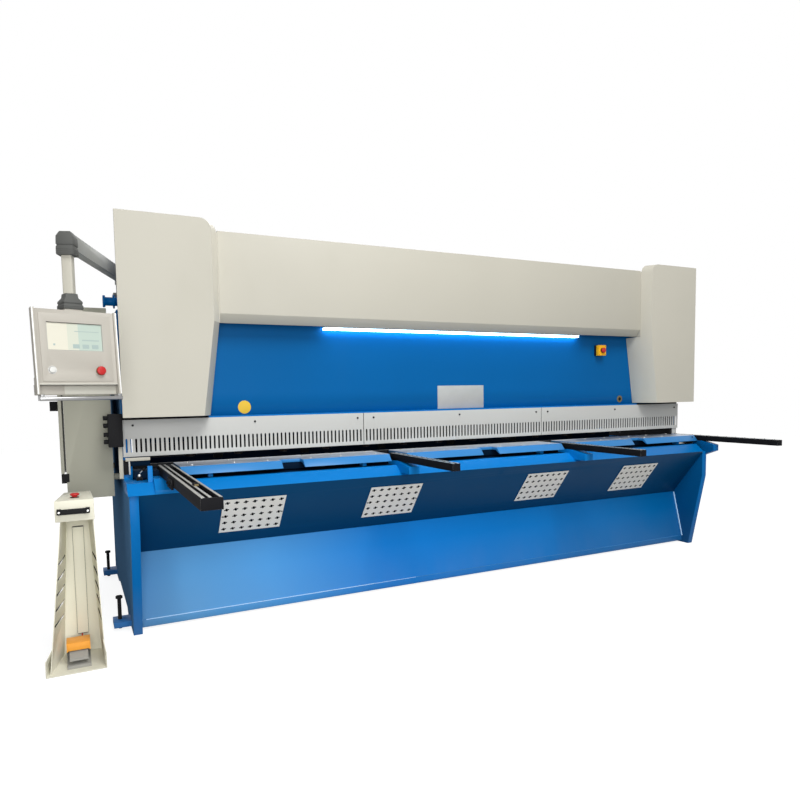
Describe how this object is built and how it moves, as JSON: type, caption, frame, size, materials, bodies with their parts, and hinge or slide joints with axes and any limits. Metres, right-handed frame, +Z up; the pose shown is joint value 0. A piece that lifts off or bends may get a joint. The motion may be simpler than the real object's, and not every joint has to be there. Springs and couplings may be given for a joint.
{
  "type": "guillotine shear",
  "caption": "Long hydraulic guillotine shear with folded covers, a slotted finger guard, a table with support arms, a control pendant on a boom, a side cabinet and a foot-control pedestal.",
  "frame": {"origin": "middle of the overall bounding box's footprint, on the floor", "axes": "+X along the blade to the right as seen by the operator, +Y from the operator to the rear, +Z up"},
  "size_m": [4.7265, 2.67, 2.203],
  "materials": {
    "black": "satin",
    "black_plastic": "matt",
    "blue": "gloss",
    "chrome": "polished",
    "cream": "semi-gloss",
    "grey_metal": "satin",
    "grey_plastic": "matt",
    "guard_white": "semi-gloss",
    "orange_paint": "satin",
    "red_plastic": "gloss",
    "screen": "gloss",
    "steel": "ground",
    "white_plastic": "gloss",
    "yellow_plastic": "satin"
  },
  "bodies": {
    "machine": {"back_gauge": "steel", "beam_cover": "cream", "bed_web": "blue", "boom_post": "grey_metal", "cabinet": "cream", "cheek_left": "blue", "cheek_right": "blue", "cylinder_left": "black", "cylinder_right": "black", "end_cover_left": "cream", "end_cover_right": "cream", "foot_switch": "orange_paint", "front_lower_panel": "blue", "front_panel": "blue", "front_upper_panel": "blue", "guard_left": "guard_white", "guard_middle": "guard_white", "guard_right": "guard_white", "hold_down_beam": "black", "hydraulic_tank": "blue", "led_bar": "white_plastic", "lower_blade": "steel", "pedestal_column": "cream", "pedestal_handle": "black_plastic", "pedestal_head": "cream", "plug_block": "black_plastic", "ram": "blue", "side_frame_left": "blue", "side_frame_right": "blue", "squaring_arm": "black", "stop_box": "yellow_plastic", "support_arm_left": "black", "support_arm_middle": "black", "support_arm_right": "black", "table_bar": "blue", "table_plate_left": "steel", "table_plate_middle": "steel", "table_plate_right": "steel", "top_beam": "blue", "upper_blade": "steel"},
    "boom": {"boom": "grey_metal"},
    "control_head": {"pendant_tube": "cream", "pendant_coupling": "grey_plastic", "control_box": "cream", "screen": "screen", "pendant_handle": "chrome"},
    "start_button": {"start_button": "white_plastic"},
    "pendant_stop": {"pendant_stop": "red_plastic"},
    "panel_stop": {"panel_stop": "red_plastic"},
    "pedestal_stop": {"pedestal_stop": "red_plastic"},
    "cabinet_door": {"cabinet_door": "cream"},
    "main_switch": {"main_switch": "black_plastic"},
    "foot_pedal": {"foot_pedal": "grey_plastic"}
  },
  "joints": [
    {"name": "boom_swing", "type": "hinge", "parent": "machine", "child": "boom", "pos_m": [-1.89295, 0.335, 1.9], "axis": [0, 0, -1], "range_deg": [0, 80]},
    {"name": "head_turn", "type": "hinge", "parent": "boom", "child": "control_head", "pos_m": [-2.18495, -0.565, 1.8], "axis": [0, 0, 1], "range_deg": [-90, 90]},
    {"name": "start_button_press", "type": "slide", "parent": "control_head", "child": "start_button", "axis": [-0.3412, 0.9374, -0.0698], "range_m": [0, 0.005], "stiffness_N_per_m": 400, "springref_m": -0.002},
    {"name": "pendant_stop_press", "type": "slide", "parent": "control_head", "child": "pendant_stop", "axis": [-0.3412, 0.9374, -0.0698], "range_m": [0, 0.004]},
    {"name": "panel_stop_press", "type": "slide", "parent": "machine", "child": "panel_stop", "axis": [0, 1, 0], "range_m": [0, 0.004]},
    {"name": "pedestal_stop_press", "type": "slide", "parent": "machine", "child": "pedestal_stop", "axis": [0, 0, -1], "range_m": [0, 0.004]},
    {"name": "cabinet_door_hinge", "type": "hinge", "parent": "machine", "child": "cabinet_door", "pos_m": [-2.25625, 0.114, 1.2], "axis": [0, 0, 1], "range_deg": [0, 90]},
    {"name": "main_switch_turn", "type": "hinge", "parent": "cabinet_door", "child": "main_switch", "pos_m": [-2.26425, 0.725, 1.205], "axis": [1, 0, 0], "range_deg": [0, 90]},
    {"name": "foot_pedal_press", "type": "hinge", "parent": "machine", "child": "foot_pedal", "pos_m": [-2.22395, -0.347, 0.045], "axis": [1, 0, 0], "range_deg": [0, 6], "stiffness_Nm_per_rad": 3, "springref_deg": -5.73}
  ]
}
